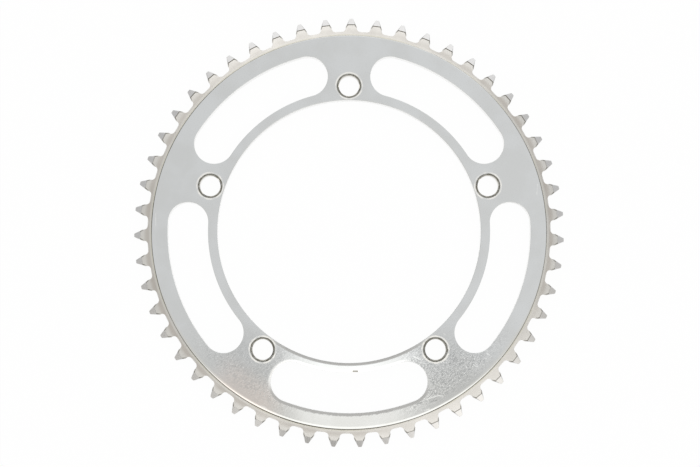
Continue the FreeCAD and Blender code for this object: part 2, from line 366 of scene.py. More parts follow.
def make_slot_group():
    """The closed outline of one slot, centred on -Y."""
    tree, get, give = new_group(
        "Slot outline", "GeometryNodeTree",
        [("Inner Radius", FLOAT), ("Outer Radius", FLOAT), ("Half Angle", FLOAT)],
        [("Outline", GEOMETRY)])
    both = calculate(tree, "ADD", get["Inner Radius"], get["Outer Radius"])
    middle = calculate(tree, "MULTIPLY", both, 0.5)
    end_radius = calculate(tree, "SUBTRACT", middle, get["Inner Radius"])
    sweep = calculate(tree, "MULTIPLY", get["Half Angle"], 2.0)
    start = calculate(tree, "SUBTRACT", -pi / 2, get["Half Angle"])
    pieces = []
    for radius in (get["Inner Radius"], get["Outer Radius"]):
        side = add_node(tree, "GeometryNodeCurveArc",
                        {"Resolution": SLOT_SIDE_STEPS + 1, "Radius": radius,
                         "Start Angle": start, "Sweep Angle": sweep}, mode="RADIUS")
        pieces.append(side.outputs[0])
    for direction, cap_start in ((1.0, 0.0), (-1.0, pi)):
        # A half circle at the middle radius, turned to one end of the slot
        cap = add_node(tree, "GeometryNodeCurveArc",
                       {"Resolution": SLOT_END_STEPS + 1, "Radius": end_radius,
                        "Start Angle": cap_start, "Sweep Angle": pi}, mode="RADIUS")
        turn = calculate(tree, "MULTIPLY_ADD", get["Half Angle"], direction, -pi / 2)
        outside = moved(tree, cap.outputs[0], shift=combine(tree, x=middle))
        pieces.append(moved(tree, outside, turn=turn))
    wires = add_node(tree, "GeometryNodeCurveToMesh", {"Curve": joined(tree, pieces)})
    merged = add_node(tree, "GeometryNodeMergeByDistance",
                      {"Geometry": wires.outputs[0], "Distance": 0.001 * mm})
    loop = add_node(tree, "GeometryNodeMeshToCurve", {"Mesh": merged.outputs[0]})
    tree.links.new(loop.outputs[0], give["Outline"])
    return tree


slot_group = make_slot_group()
print("slot outline:", len(slot_group.nodes), "nodes")

# %% [markdown]
# The ring's tree sweeps every edge first. What is left between the swept edges is flat, and the
# open rails of the edges bound it exactly, so Fill Curve closes the two faces with nothing to line
# up by hand. A narrow level strip beside every rounding keeps the shading of the wide faces flat.
# The shoulder circle has a whole number of steps to a tooth, so that the toothed band welds to it
# point by point. Polishing has rolled the plate's outer edge a little, and that roll is part of the
# shoulder's section, because it is what catches the light all round.

# %% Levels and edges
BORE_STEPS = 306
HOLE_STEPS = 60
ROLL_SLOPE = 0.07
weld_distance = 0.002 * mm


def level_fill(tree, walls, height):
    """A flat face between the open rails of the walls at one height."""
    neighbours = add_node(tree, "GeometryNodeInputMeshEdgeNeighbors").outputs[0]
    is_rail = add_node(tree, "FunctionNodeCompare", {2: neighbours, 3: 1},
                       data_type="INT", operation="EQUAL").outputs[0]
    position = add_node(tree, "GeometryNodeInputPosition").outputs[0]
    z = add_node(tree, "ShaderNodeSeparateXYZ", {0: position}).outputs["Z"]
    is_level = add_node(tree, "FunctionNodeCompare", {0: z, 1: height, "Epsilon": 0.01 * mm},
                        data_type="FLOAT", operation="EQUAL").outputs[0]
    chosen = add_node(tree, "FunctionNodeBooleanMath", {0: is_rail, 1: is_level},
                      operation="AND").outputs[0]
    rails = add_node(tree, "GeometryNodeMeshToCurve", {"Mesh": walls, "Selection": chosen})
    flat = add_node(tree, "GeometryNodeFillCurve", {"Curve": rails.outputs[0]}, mode="TRIANGLES")
    return moved(tree, flat.outputs[0], shift=combine(tree, z=height))


def shoulder_section(tree, get, face, direction):
    """A polished roll, a round, a short wall and the start of the land, on one face."""
    before_round = calculate(tree, "ADD", get["Roll Width"], get["Shoulder Round"])
    rail = calculate(tree, "MULTIPLY", calculate(tree, "ADD", before_round, get["Support"]), -1.0)
    half_roll = calculate(tree, "MULTIPLY", get["Roll Width"], 0.5)
    bend = calculate(tree, "SUBTRACT", half_roll, before_round)
    bend_round = calculate(tree, "MULTIPLY", half_roll, 1.6 / ROLL_SLOPE)
    brow = calculate(tree, "MULTIPLY_ADD", bend, direction * ROLL_SLOPE, face)
    depth = calculate(tree, "SUBTRACT", get["Thickness"], get["Land Height"])
    land = calculate(tree, "MULTIPLY_ADD", depth, -direction, face)
    return section(tree, [
        (rail, face, 0.0), (bend, face, bend_round), (0.0, brow, get["Shoulder Round"]),
        (0.0, land, get["Corner Round"]), (get["Band Support"], land, 0.0)])


def through_section(tree, get, rounding):
    """A wall right through the plate, rounded at both faces."""
    rail = calculate(tree, "ADD", rounding, get["Support"])
    top = get["Thickness"]
    return section(tree, [(rail, top, 0.0), (0.0, top, rounding), (0.0, 0.0, rounding),
                          (rail, 0.0, 0.0)])


def hole_section(tree, get):
    """A countersink in front, a wall, and a broken edge behind."""
    sink = calculate(tree, "SUBTRACT", get["Countersink Radius"], get["Hole Radius"])
    top, back, soft = get["Thickness"], get["Back Break"], get["Hole Softness"]
    sink_foot = calculate(tree, "SUBTRACT", top, sink)
    return section(tree, [
        (calculate(tree, "ADD", sink, get["Support"]), top, 0.0), (sink, top, soft),
        (0.0, sink_foot, soft), (0.0, back, soft), (back, 0.0, soft),
        (calculate(tree, "ADD", back, get["Support"]), 0.0, 0.0)])


# %% The ring's node tree


def make_ring_group():
    """Teeth, shoulders, bore, slots, bolt holes and the flat faces between them."""
    tree, get, give = new_group(
        "Chainring", "GeometryNodeTree",
        [("Tooth", "NodeSocketObject"), ("Teeth", INTEGER), ("Tooth Turn", FLOAT),
         ("Steps per Tooth", INTEGER), ("Thickness", FLOAT), ("Land Height", FLOAT),
         ("Shoulder Radius", FLOAT), ("Shoulder Round", FLOAT), ("Roll Width", FLOAT),
         ("Corner Round", FLOAT), ("Band Support", FLOAT), ("Bore Radius", FLOAT),
         ("Bore Round", FLOAT), ("Slot Inner Radius", FLOAT), ("Slot Outer Radius", FLOAT),
         ("Slot Half Angle", FLOAT), ("Slot Round", FLOAT), ("Bolt Radius", FLOAT),
         ("Bolts", INTEGER), ("Hole Radius", FLOAT), ("Countersink Radius", FLOAT),
         ("Back Break", FLOAT), ("Hole Softness", FLOAT), ("Support", FLOAT),
         ("Plate Finish", "NodeSocketMaterial"), ("Band Finish", "NodeSocketMaterial")],
        [("Ring", GEOMETRY)])
    top = get["Thickness"]

    # Teeth, side by side round the axis
    source = add_node(tree, "GeometryNodeObjectInfo", {"Object": get["Tooth"]})
    step = calculate(tree, "DIVIDE", -2 * pi, get["Teeth"])
    first = calculate(tree, "MULTIPLY", get["Tooth Turn"], -1.0)
    band = repeated(tree, source.outputs["Geometry"], get["Teeth"], first, step)

    # Shoulders, starting at the middle of a gap
    count = calculate(tree, "MULTIPLY", get["Teeth"], get["Steps per Tooth"])
    gap_turn = calculate(tree, "MULTIPLY_ADD", step, 0.5, first)
    ledge = moved(tree, circle(tree, count, get["Shoulder Radius"]),
                  turn=calculate(tree, "ADD", gap_turn, pi / 2))
    walls = [swept(tree, ledge, shoulder_section(tree, get, top, 1.0)),
             swept(tree, ledge, shoulder_section(tree, get, 0.0, -1.0))]

    # Bore, then one slot and one bolt hole repeated round the axis
    bore = circle(tree, BORE_STEPS, get["Bore Radius"])
    walls.append(swept(tree, bore, through_section(tree, get, get["Bore Round"])))
    slot = use_group(tree, slot_group, {
        "Inner Radius": get["Slot Inner Radius"], "Outer Radius": get["Slot Outer Radius"],
        "Half Angle": get["Slot Half Angle"]})["Outline"]
    slot_wall = swept(tree, slot, through_section(tree, get, get["Slot Round"]))
    hole = moved(tree, circle(tree, HOLE_STEPS, get["Hole Radius"]),
                 shift=combine(tree, y=get["Bolt Radius"]))
    hole_wall = swept(tree, hole, hole_section(tree, get))
    arm_step = calculate(tree, "DIVIDE", 2 * pi, get["Bolts"])
    walls.append(repeated(tree, joined(tree, [slot_wall, hole_wall]), get["Bolts"], 0.0, arm_step))
    real_walls = add_node(tree, "GeometryNodeRealizeInstances",
                          {"Geometry": joined(tree, walls)}).outputs[0]

    # Flat faces, then everything real, welded and smooth
    whole = joined(tree, [real_walls, level_fill(tree, real_walls, top),
                          level_fill(tree, real_walls, 0.0), band])
    real = add_node(tree, "GeometryNodeRealizeInstances", {"Geometry": whole}).outputs[0]
    welded = add_node(tree, "GeometryNodeMergeByDistance",
                      {"Geometry": real, "Distance": weld_distance}).outputs[0]
    smooth = add_node(tree, "GeometryNodeSetShadeSmooth", {"Geometry": welded}).outputs[0]

    # The plate's finish everywhere, then the band's finish beyond the shoulder
    position = add_node(tree, "GeometryNodeInputPosition").outputs[0]
    flat_place = add_node(tree, "ShaderNodeVectorMath", {0: position, 1: (1, 1, 0)},
                          operation="MULTIPLY").outputs[0]
    radius = add_node(tree, "ShaderNodeVectorMath", {0: flat_place},
                      operation="LENGTH").outputs["Value"]
    is_band = add_node(tree, "FunctionNodeCompare", {0: radius, 1: get["Shoulder Radius"]},
                       data_type="FLOAT", operation="GREATER_THAN").outputs[0]
    plate = add_node(tree, "GeometryNodeSetMaterial",
                     {"Geometry": smooth, "Material": get["Plate Finish"]}).outputs[0]
    finished = add_node(tree, "GeometryNodeSetMaterial",
                        {"Geometry": plate, "Selection": is_band,
                         "Material": get["Band Finish"]}).outputs[0]
    tree.links.new(finished, give["Ring"])
    return tree


ring_group = make_ring_group()
print("ring:", len(ring_group.nodes), "nodes")

# %% [markdown]
# The finish is worn, hand-polished aluminium. A mirror shows its surroundings, so most of what the
# eye reads as its surface is very slight unevenness in the polish. It is made as shader groups that
# put out masks and heights, each built once and used by both finishes. They read Object
# coordinates in millimetres, because the whole ring lies in its own frame.

# %% Helpers for shaders


def vector_math(tree, operation, inputs, output="Vector"):
    """One step of vector arithmetic."""
    return add_node(tree, "ShaderNodeVectorMath", inputs, operation=operation).outputs[output]


def rise(tree, value, start, finish):
    """A smooth rise from 0 to 1 as a value goes from start to finish."""
    node = add_node(tree, "ShaderNodeMapRange",
                    {"Value": value, "From Min": start, "From Max": finish},
                    interpolation_type="SMOOTHSTEP")
    return node.outputs["Result"]


def between(tree, value, start, full, fade, finish):
    """A mask that rises from start to full, and falls again from fade to finish."""
    up = rise(tree, value, start, full)
    down = calculate(tree, "SUBTRACT", 1.0, rise(tree, value, fade, finish))
    return calculate(tree, "MULTIPLY", up, down)


def blend(tree, factor, first, second):
    """One colour laid over another by a mask."""
    node = add_node(tree, "ShaderNodeMix", {0: factor, 6: first, 7: second}, data_type="RGBA")
    return node.outputs[2]


def noise(tree, place, scale, detail=2.0, roughness=0.5):
    """Soft noise between 0 and 1, with its scale in features per unit of the place given."""
    node = add_node(tree, "ShaderNodeTexNoise",
                    {"Vector": place, "Scale": scale, "Detail": detail, "Roughness": roughness})
    return node.outputs["Fac"]


def millimetre_place(tree):
    """Object coordinates in millimetres."""
    place = add_node(tree, "ShaderNodeTexCoord").outputs["Object"]
    return vector_math(tree, "SCALE", {0: place, "Scale": 1 / mm})


# %% [markdown]
# Wear on a ring follows the ring's own symmetry, so the first group turns a place on it into the
# coordinates that wear cares about: the distance from the axis, the distance from the nearest bolt
# hole, and the place on the nearest tooth, across it and out along it. Folding an angle into one
# step of a pattern is a remainder, which keeps the group small.

# %% Places on the ring


def folded_angle(tree, angle, first, step):
    """An angle measured from the nearest of a row of equal steps."""
    from_first = calculate(tree, "SUBTRACT", angle, first)
    half = calculate(tree, "MULTIPLY", step, 0.5)
    shifted = calculate(tree, "ADD", from_first, half)
    wrapped = calculate(tree, "FLOORED_MODULO", shifted, step)
    return calculate(tree, "SUBTRACT", wrapped, half)


def polar_point(tree, radius, angle):
    """Across and out parts of a place, from its radius and folded angle."""
    across = calculate(tree, "MULTIPLY", radius, calculate(tree, "SINE", angle))
    out = calculate(tree, "MULTIPLY", radius, calculate(tree, "COSINE", angle))
    return across, out


def make_places_group():
    """Distance from the axis, from the nearest bolt hole, and the place on the nearest tooth."""
    tree, get, give = new_group(
        "Places on the ring", "ShaderNodeTree",
        [("Place", VECTOR), ("Teeth", FLOAT), ("Tooth Turn", FLOAT), ("Pitch Radius", FLOAT),
         ("Bolts", FLOAT), ("Bolt Radius", FLOAT), ("Slot Radius", FLOAT),
         ("Slot End Radius", FLOAT), ("Slot Half Angle", FLOAT)],
        [("Radius", FLOAT), ("Angle", FLOAT), ("From Hole", FLOAT), ("From Slot", FLOAT),
         ("Across", FLOAT),
         ("Out", FLOAT), ("From Pin", FLOAT)])
    level = vector_math(tree, "MULTIPLY", {0: get["Place"], 1: (1, 1, 0)})
    radius = vector_math(tree, "LENGTH", {0: level}, output="Value")
    split = add_node(tree, "ShaderNodeSeparateXYZ", {0: level}).outputs
    angle = calculate(tree, "ARCTAN2", split["Y"], split["X"])
    bolt_step = calculate(tree, "DIVIDE", 2 * pi, get["Bolts"])
    tooth_step = calculate(tree, "DIVIDE", 2 * pi, get["Teeth"])
    tooth_first = calculate(tree, "SUBTRACT", pi / 2, get["Tooth Turn"])
    gap_first = calculate(tree, "MULTIPLY_ADD", tooth_step, 0.5, tooth_first)

    def distance_to(folded, centre_radius):
        across, out = polar_point(tree, radius, folded)
        beyond = calculate(tree, "SUBTRACT", out, centre_radius)
        return vector_math(tree, "LENGTH", {0: combine(tree, x=across, y=beyond)}, output="Value")

    on_tooth = folded_angle(tree, angle, tooth_first, tooth_step)
    across, out = polar_point(tree, radius, on_tooth)
    to_hole = distance_to(folded_angle(tree, angle, pi / 2, bolt_step), get["Bolt Radius"])
    to_pin = distance_to(folded_angle(tree, angle, gap_first, tooth_step), get["Pitch Radius"])
    # Beside a slot the nearest point of its middle line is at the same angle, past it the end
    on_slot = calculate(tree, "ABSOLUTE", folded_angle(tree, angle, -pi / 2, bolt_step))
    past_end = calculate(tree, "SUBTRACT", on_slot, get["Slot Half Angle"])
    past_end = calculate(tree, "MAXIMUM", past_end, 0.0)
    to_slot = calculate(tree, "SUBTRACT", distance_to(past_end, get["Slot Radius"]),
                        get["Slot End Radius"])
    results = {"Radius": radius, "Angle": angle, "From Hole": to_hole,
               "From Slot": to_slot, "Across": across,
               "Out": out, "From Pin": to_pin}
    for name, value in results.items():
        tree.links.new(value, give[name])
    return tree


places_group = make_places_group()


def ring_places(tree, place):
    """The places group with this ring's sizes, in millimetres."""
    return use_group(tree, places_group, {
        "Place": place, "Teeth": float(teeth), "Tooth Turn": tooth_turn,
        "Pitch Radius": pitch_radius / mm, "Bolts": float(bolt_count),
        "Bolt Radius": bolt_circle_radius / mm, "Slot Radius": slot_middle_radius / mm,
        "Slot End Radius": slot_end_radius / mm, "Slot Half Angle": slot_half_angle})


print("places on the ring:", len(places_group.nodes), "nodes")

# %% [markdown]
# Hand polishing leaves two things: a faint orange-peel unevenness, and short scuffs in one
# direction. Both are noise. The scuffs are the same noise stretched along one direction and cut
# off high, so that only its crests remain as separate marks.

# %% Polish marks


def make_polish_group():
    """Unevenness of a hand polish as a height, and its scuffs as a mask."""
    tree, get, give = new_group(
        "Hand polish", "ShaderNodeTree",
        [("Place", VECTOR), ("Unevenness", FLOAT), ("Scuffs", FLOAT), ("Direction", FLOAT),
         ("Stretch", FLOAT)],
        [("Height", FLOAT), ("Scuff Mask", FLOAT), ("Mottle", FLOAT), ("Cloud", FLOAT),
         ("Flecks", FLOAT)])
    turned = add_node(tree, "ShaderNodeVectorRotate",
                      {"Vector": get["Place"], "Angle": get["Direction"]},
                      rotation_type="Z_AXIS").outputs[0]
    squeeze = combine(tree, x=calculate(tree, "DIVIDE", 1.0, get["Stretch"]), y=1.0, z=1.0)
    along = vector_math(tree, "MULTIPLY", {0: turned, 1: squeeze})
    peel = noise(tree, along, 0.85, detail=2.5, roughness=0.6)
    fine = noise(tree, along, 3.2, detail=2.0, roughness=0.6)
    crests = rise(tree, fine, 0.56, 0.74)
    patches = rise(tree, noise(tree, get["Place"], 0.11, detail=2.0), 0.42, 0.62)
    scuffs = calculate(tree, "MULTIPLY", calculate(tree, "MULTIPLY", crests, patches),
                       get["Scuffs"])
    soft = calculate(tree, "MULTIPLY", peel, get["Unevenness"])
    height = calculate(tree, "MULTIPLY_ADD", scuffs, -0.25, soft)
    cloud = noise(tree, get["Place"], 0.06, detail=3.0)
    mottle = noise(tree, along, 1.5, detail=2.5, roughness=0.65)
    flecks = rise(tree, noise(tree, along, 2.4, detail=3.0, roughness=0.75), 0.52, 0.6)
    for name, value in {"Height": height, "Scuff Mask": scuffs, "Mottle": mottle,
                        "Cloud": cloud, "Flecks": flecks}.items():
        tree.links.new(value, give[name])
    return tree


polish_group = make_polish_group()
print("hand polish:", len(polish_group.nodes), "nodes")

# %% [markdown]
# The corner under the shoulder is darkened with painted shade, a thin olive-brown line all the way
# round, heavier in some places than others. A band group draws any such line: a soft band around
# one radius whose strength wanders with noise.

# %% A wandering line


def make_line_group():
    """A soft line at one distance, broken up by noise along it."""
    tree, get, give = new_group(
        "Wandering line", "ShaderNodeTree",
        [("Place", VECTOR), ("Distance", FLOAT), ("Centre", FLOAT), ("Half Width", FLOAT),
         ("Wobble", FLOAT), ("Least", FLOAT), ("Scale", FLOAT)],
        [("Mask", FLOAT)])
    wander = noise(tree, get["Place"], get["Scale"], detail=2.0)
    swing = calculate(tree, "SUBTRACT", wander, 0.5)
    centre = calculate(tree, "MULTIPLY_ADD", swing, get["Wobble"], get["Centre"])
    away = calculate(tree, "ABSOLUTE", calculate(tree, "SUBTRACT", get["Distance"], centre))
    share = calculate(tree, "DIVIDE", away, get["Half Width"])
    line = calculate(tree, "SUBTRACT", 1.0, rise(tree, share, 0.5, 1.3))
    other = noise(tree, vector_math(tree, "ADD", {0: get["Place"], 1: (31, 17, 5)}),
                  get["Scale"], detail=1.0)
    strength = rise(tree, other, 0.3, 0.62)
    spare = calculate(tree, "SUBTRACT", 1.0, get["Least"])
    strength = calculate(tree, "MULTIPLY_ADD", strength, spare, get["Least"])
    tree.links.new(calculate(tree, "MULTIPLY", line, strength), give["Mask"])
    return tree


line_group = make_line_group()


def wandering_line(tree, place, distance, centre, half_width, wobble=0.0, least=0.4, scale=0.12):
    """A soft, broken line at one distance, in millimetres."""
    return use_group(tree, line_group, {
        "Place": place, "Distance": distance, "Centre": centre, "Half Width": half_width,
        "Wobble": wobble, "Least": least, "Scale": scale})["Mask"]


print("wandering line:", len(line_group.nodes), "nodes")

# %% Colours of the metal and its wear
metal = (0.585, 0.595, 0.592, 1)
metal_pale = (0.615, 0.628, 0.63, 1)
metal_warm = (0.60, 0.59, 0.565, 1)
highlight_metal = (0.80, 0.79, 0.76, 1)
rubbed_and_lit = (0.82, 0.80, 0.765, 1)
brown_film = (0.50, 0.465, 0.425, 1)
gold_film = (0.64, 0.62, 0.52, 1)
cut_metal = (0.63, 0.625, 0.62, 1)
scuff_and_shade_metal = (0.395, 0.407, 0.41, 1)
edge_shade_metal = (0.37, 0.37, 0.365, 1)
warm_film = (0.69, 0.648, 0.622, 1)
glare_white = (0.95, 0.95, 0.94, 1)
wall_sheen = (0.90, 0.90, 0.89, 1)
fleck_and_glint_metal = (0.90, 0.915, 0.91, 1)
glint_metal = (0.70, 0.71, 0.70, 1)
grime_and_shade = (0.115, 0.105, 0.075, 1)
hole_shade = (0.22, 0.215, 0.18, 1)

# %% [markdown]
# A few scratches are large enough to see one by one, and a few pale marks are painted glints. Each
# is a soft line between two places on the face, drawn by its distance from the nearest point of
# that line, which one small group works out.

# %% Scratches
scratches = [
    ((37.6, -82.6), (41.6, -81.3), 0.26, fleck_and_glint_metal),
    ((41.6, -81.3), (43.6, -80.6), 0.3, fleck_and_glint_metal),
    ((43.6, -80.6), (46.0, -81.0), 0.28, fleck_and_glint_metal),
    ((39.4, -83.7), (43.0, -82.9), 0.26, scuff_and_shade_metal),
    ((33.4, -84.5), (35.8, -84.1), 0.3, scuff_and_shade_metal),
    ((31.8, -61.8), (34.4, -62.8), 0.34, fleck_and_glint_metal),
    ((60.8, -65.6), (62.8, -66.8), 0.26, fleck_and_glint_metal),
    ((67.6, -60.2), (68.6, -60.9), 0.36, fleck_and_glint_metal),
    # A painted glint
    ((46.5, -50.5), (47.1, -51.1), 0.4, glint_metal),
    ((36.8, -88.0), (39.2, -87.2), 0.26, fleck_and_glint_metal),
    ((-43.0, -85.4), (-40.4, -86.8), 0.24, fleck_and_glint_metal),
    ((-57.6, -66.2), (-55.6, -66.4), 0.26, scuff_and_shade_metal),
    ((1.9, -68.8), (4.2, -68.8), 0.34, grime_and_shade),
    # Painted glints: light streaks on the right and left rims
    ((92.5, 18.0), (93.0, 23.0), 0.24, glint_metal),
    ((-95.1, 2.5), (-95.2, 8.5), 0.24, glint_metal)]


def make_scratch_group():
    """A short straight mark between two places."""
    tree, get, give = new_group(
        "Scratch", "ShaderNodeTree",
        [("Place", VECTOR), ("Start", VECTOR), ("Finish", VECTOR), ("Half Width", FLOAT)],
        [("Mask", FLOAT)])
    run = vector_math(tree, "SUBTRACT", {0: get["Finish"], 1: get["Start"]})
    offset = vector_math(tree, "SUBTRACT", {0: get["Place"], 1: get["Start"]})
    done = vector_math(tree, "DOT_PRODUCT", {0: offset, 1: run}, output="Value")
    whole = vector_math(tree, "DOT_PRODUCT", {0: run, 1: run}, output="Value")
    share = calculate(tree, "DIVIDE", done, whole, clamp=True)
    nearest = vector_math(tree, "SCALE", {0: run, "Scale": share})
    away = vector_math(tree, "DISTANCE", {0: offset, 1: nearest}, output="Value")
    away = calculate(tree, "DIVIDE", away, get["Half Width"])
    tree.links.new(calculate(tree, "SUBTRACT", 1.0, rise(tree, away, 0.5, 1.4)), give["Mask"])
    return tree


scratch_group = make_scratch_group()
print("scratches:", len(scratches))

# %% [markdown]
# Both finishes are metal with a grey of about 0.6, which is what aluminium shows after years
# outdoors. The plate is nearly a mirror. Around each bolt hole a bright ring is a painted highlight,
# the hole's wall is painted pale as a reflection, and the countersink holds a broken dark ring of
# painted shade.

# %% Finish of the plate


def new_finish(name):
    """A metal material, with its tree and shader."""
    material = bpy.data.materials.new(name)
    material.use_nodes = True
    tree = material.node_tree
    shader = tree.nodes["Principled BSDF"]
    shader.inputs["Metallic"].default_value = 1.0
    return material, tree, shader


def corner_shade_share(tree, angle):
    """Strength of the painted shade under the shoulder, least near the top of the ring."""
    from_wiped = calculate(tree, "COSINE", calculate(tree, "SUBTRACT", angle, radians(76)))
    return calculate(tree, "MULTIPLY_ADD", rise(tree, from_wiped, 0.73, 0.93), -0.9, 1.0)


def make_plate_finish():
    material, tree, shader = new_finish("Hand-polished plate")
    place = millimetre_place(tree)
    where = ring_places(tree, place)
    polish = use_group(tree, polish_group, {
        "Place": place, "Unevenness": 1.0, "Scuffs": 1.0, "Direction": radians(-38),
        "Stretch": 2.2})
    colour = blend(tree, rise(tree, polish["Cloud"], 0.35, 0.65), metal, metal_pale)
    # A warm film on the outer rim's lower left
    warm = between(tree, where["Angle"], radians(-137), radians(-127), radians(-117), radians(-108))
    warm = calculate(tree, "MULTIPLY", warm, rise(tree, where["Radius"], 80, 91))
    colour = blend(tree, warm, colour, warm_film)
    # Lower arms mottled with small scuffs, partly painted glare streaks, dark and bright
    parts = add_node(tree, "ShaderNodeSeparateXYZ", {0: place}).outputs
    nearness = calculate(tree, "MULTIPLY_ADD", polish["Cloud"], -26.0,
                         calculate(tree, "MULTIPLY", parts["Y"], -1.0))
    worn = calculate(tree, "MULTIPLY", rise(tree, nearness, 34, 52),
                     rise(tree, calculate(tree, "ABSOLUTE", parts["X"]), 21, 32))
    worn = calculate(tree, "MULTIPLY", worn,
                     calculate(tree, "SUBTRACT", 1.0, rise(tree, where["Radius"], 90, 97)))
    right_share = calculate(tree, "MULTIPLY_ADD", rise(tree, parts["X"], -10, 25), 0.5, 0.5)
    spots = calculate(tree, "MULTIPLY", worn, rise(tree, polish["Mottle"], 0.46, 0.6))
    spots = calculate(tree, "MULTIPLY", spots, right_share)
    colour = blend(tree, calculate(tree, "MULTIPLY", spots, 0.78), colour, scuff_and_shade_metal)
    flecks = calculate(tree, "MULTIPLY", calculate(tree, "MULTIPLY", worn, polish["Flecks"]),
                       right_share)
    colour = blend(tree, flecks, colour, fleck_and_glint_metal)
    # Painted shade along the bore and the outer sides of the slots, on the lower side of the ring only
    bore_edge = calculate(tree, "SUBTRACT", where["Radius"], bore_radius / mm)
    outer_side = rise(tree, where["Radius"], slot_middle_radius / mm, slot_outer_radius / mm)
    slot_edge = calculate(tree, "SUBTRACT", where["From Slot"], 0.3)
    ragged = calculate(tree, "MULTIPLY_ADD", polish["Mottle"], 1.6, -0.8)
    edge = calculate(tree, "SUBTRACT", 1.0, rise(tree, bore_edge, 0.95, 1.65))
    slot_edge = calculate(tree, "SUBTRACT", 1.0,
                          rise(tree, calculate(tree, "ADD", slot_edge, ragged), 0.8, 1.5))
    bottom_slot = calculate(tree, "SUBTRACT", 1.0,
                            rise(tree, calculate(tree, "ABSOLUTE", parts["X"]), 37, 43))
    slot_edge = calculate(tree, "MULTIPLY", slot_edge, bottom_slot)
    edge = calculate(tree, "MAXIMUM", edge, calculate(tree, "MULTIPLY", slot_edge, outer_side))
    edge = calculate(tree, "MULTIPLY", edge, rise(tree, parts["Y"], -46, -60))
    colour = blend(tree, calculate(tree, "MULTIPLY", edge, 0.9), colour, edge_shade_metal)
    # Painted highlight along the bottom slot's inner edge
    bright = calculate(tree, "SUBTRACT", 1.0, rise(tree, where["From Slot"], 0.3, 1.5))
    bright = calculate(tree, "MULTIPLY", bright, between(tree, parts["X"], -44, -39, 22, 32))
    bright = calculate(tree, "MULTIPLY", bright, rise(tree, parts["Y"], -79, -71))
    bright = calculate(tree, "MULTIPLY", bright, rise(tree, parts["Y"], -54, -60))
    colour = blend(tree, bright, colour, glare_white)
    # Walls painted pale, a painted reflection of the white table
    wall = calculate(tree, "MAXIMUM", calculate(tree, "LESS_THAN", where["From Slot"], 0.04),
                     calculate(tree, "LESS_THAN", bore_edge, 0.04))
    colour = blend(tree, wall, colour, wall_sheen)
    ragged_share = calculate(tree, "MULTIPLY_ADD", rise(tree, polish["Mottle"], 0.4, 0.56), 0.6, 0.35)
    for start, finish, half_width, tone in scratches:
        mark = use_group(tree, scratch_group, {
            "Place": place, "Start": (*start, plate_thickness / mm),
            "Finish": (*finish, plate_thickness / mm), "Half Width": half_width})["Mask"]
        colour = blend(tree, calculate(tree, "MULTIPLY", mark, ragged_share), colour, tone)
    # Painted highlight: a bright ring just outside each countersink, where its edge catches the light
    painted_halo = wandering_line(tree, place, where["From Hole"], 6.5, 0.42, wobble=0.4, least=0.2,
                          scale=0.3)
    colour = blend(tree, painted_halo, colour, highlight_metal)
    # Painted reflection: the countersink's foot and the hole's wall painted pale
    sink_foot = calculate(tree, "LESS_THAN", where["From Hole"], 5.5)
    colour = blend(tree, sink_foot, colour, highlight_metal)
    # Painted shade: a broken dark ring in each countersink
    sink_shade = wandering_line(tree, place, where["From Hole"], 5.74, 0.38, wobble=0.55, least=0.45,
                          scale=0.7)
    colour = blend(tree, sink_shade, colour, hole_shade)
    # Painted shade: a dark line in the corner under the shoulder, wider towards the bottom of the ring and
    # weaker towards the top and the right
    low = rise(tree, calculate(tree, "SINE", where["Angle"]), -0.5, -0.9)
    dirt_width = calculate(tree, "MULTIPLY_ADD", low, 0.07, 0.12)
    corner_shade = wandering_line(tree, place, where["Radius"], shoulder_radius / mm - 0.08, dirt_width,
                          least=0.45, scale=0.05)
    corner_shade = calculate(tree, "MULTIPLY", corner_shade, corner_shade_share(tree, where["Angle"]))
    right = rise(tree, calculate(tree, "COSINE", where["Angle"]), 0.3, 0.95)
    corner_shade = calculate(tree, "MULTIPLY", corner_shade, calculate(tree, "MULTIPLY_ADD", right, -0.45, 1.0))
    colour = blend(tree, corner_shade, colour, grime_and_shade)
    fill(tree, shader.inputs["Base Color"], colour)
    dull = calculate(tree, "MULTIPLY_ADD", polish["Scuff Mask"], 0.05, 0.07)
    dull = calculate(tree, "MULTIPLY_ADD", edge, 0.24, dull)
    dull = calculate(tree, "MULTIPLY_ADD", wall, 0.15, dull)
    dull = calculate(tree, "MULTIPLY_ADD", painted_halo, 0.18, dull)
    dull = calculate(tree, "MULTIPLY_ADD", calculate(tree, "MAXIMUM", sink_shade, corner_shade), 0.45, dull)
    fill(tree, shader.inputs["Roughness"], dull)
    bump = add_node(tree, "ShaderNodeBump", {"Height": polish["Height"], "Strength": 1.0,
                                             "Distance": plate_unevenness})
    fill(tree, shader.inputs["Normal"], bump.outputs[0])
    return material


plate_unevenness = 0.0035 * mm
plate_finish = make_plate_finish()
print("plate finish:", len(plate_finish.node_tree.nodes), "nodes")
